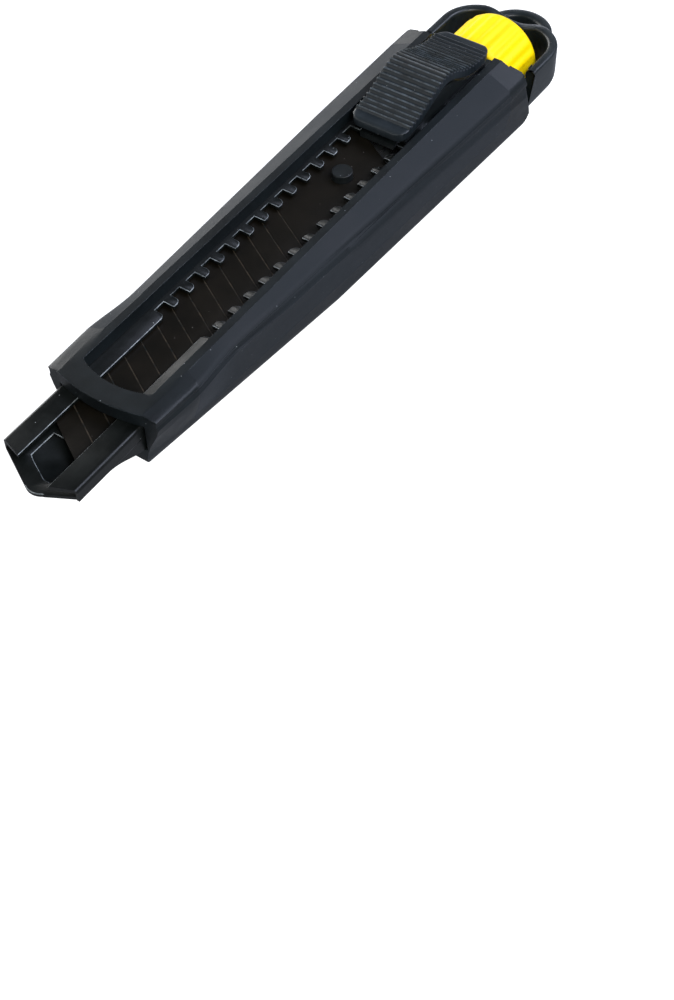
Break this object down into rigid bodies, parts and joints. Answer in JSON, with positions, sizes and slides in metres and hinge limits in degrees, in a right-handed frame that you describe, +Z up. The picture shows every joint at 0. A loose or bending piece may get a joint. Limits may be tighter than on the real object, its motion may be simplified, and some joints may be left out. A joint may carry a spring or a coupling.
{
  "type": "utility knife",
  "caption": "Snap-off utility knife: a long handle with a folded blade guide, a sliding auto-lock thumb pad, and a loop-shaped end cap held by a thumb wheel.",
  "frame": {"origin": "below the middle of the knife, on the plane that the belly and the thumb wheel rest on", "axes": "+X along the knife to the blade guide's tip, +Y to the side that the cutting edge is on, +Z up out of the window that the slider runs in"},
  "size_m": [0.1823, 0.0332, 0.028],
  "materials": {
    "hard_shell": "Moulded ABS, blue-black, half gloss.",
    "rubber_grip": "Soft thermoplastic rubber, fine matt.",
    "guide_steel": "Black-coated folded steel, satin, bright worn edges.",
    "blade_steel": "Black oxide carbon steel, ground edge.",
    "bright_steel": "Zinc-plated steel.",
    "slider_plastic": "Moulded acetal, dark.",
    "pad_plastic": "Moulded nylon, charcoal with a bluish sheen.",
    "cap_plastic": "Moulded glass-filled nylon, satin charcoal.",
    "wheel_plastic": "Moulded ABS, bright yellow.",
    "brass": "Turned brass."
  },
  "bodies": {
    "handle": {"upper_shell": "hard_shell", "lower_shell": "hard_shell", "grip_left": "rubber_grip", "grip_right": "rubber_grip", "shell_screws": "bright_steel", "blade_guide": "guide_steel", "guide_pins": "bright_steel", "cap_nut": "brass"},
    "slider": {"slider_body": "slider_plastic", "blade_carrier": "bright_steel", "blade_stud": "slider_plastic", "snap_blade": "blade_steel", "pad_springs": "bright_steel"},
    "pad": {"thumb_pad": "pad_plastic", "lock_plate": "bright_steel"},
    "cap": {"end_cap": "cap_plastic", "screw_bush": "brass"},
    "wheel": {"thumb_wheel": "wheel_plastic", "cap_screw": "bright_steel", "wheel_washer": "bright_steel"}
  },
  "joints": [
    {"name": "slider_slide", "type": "slide", "parent": "handle", "child": "slider", "axis": [1, 0, 0], "range_m": [0, 0.06]},
    {"name": "pad_press", "type": "slide", "parent": "slider", "child": "pad", "axis": [0, 0, -1], "range_m": [0, 0.0009], "stiffness_N_per_m": 2000, "springref_m": -0.0005, "deforming": ["pad_springs"]},
    {"name": "cap_slide", "type": "slide", "parent": "handle", "child": "cap", "axis": [-1, 0, 0], "range_m": [0, 0.00401]},
    {"name": "wheel_turn", "type": "hinge", "parent": "cap", "child": "wheel", "pos_m": [-0.07, 0, 0.0104], "axis": [-1, 0, 0], "range_deg": [0, 1800]}
  ],
  "couplings": [
    {"joint": "cap_slide", "follows": "wheel_turn", "m_per_rad": 0.00012732}
  ]
}
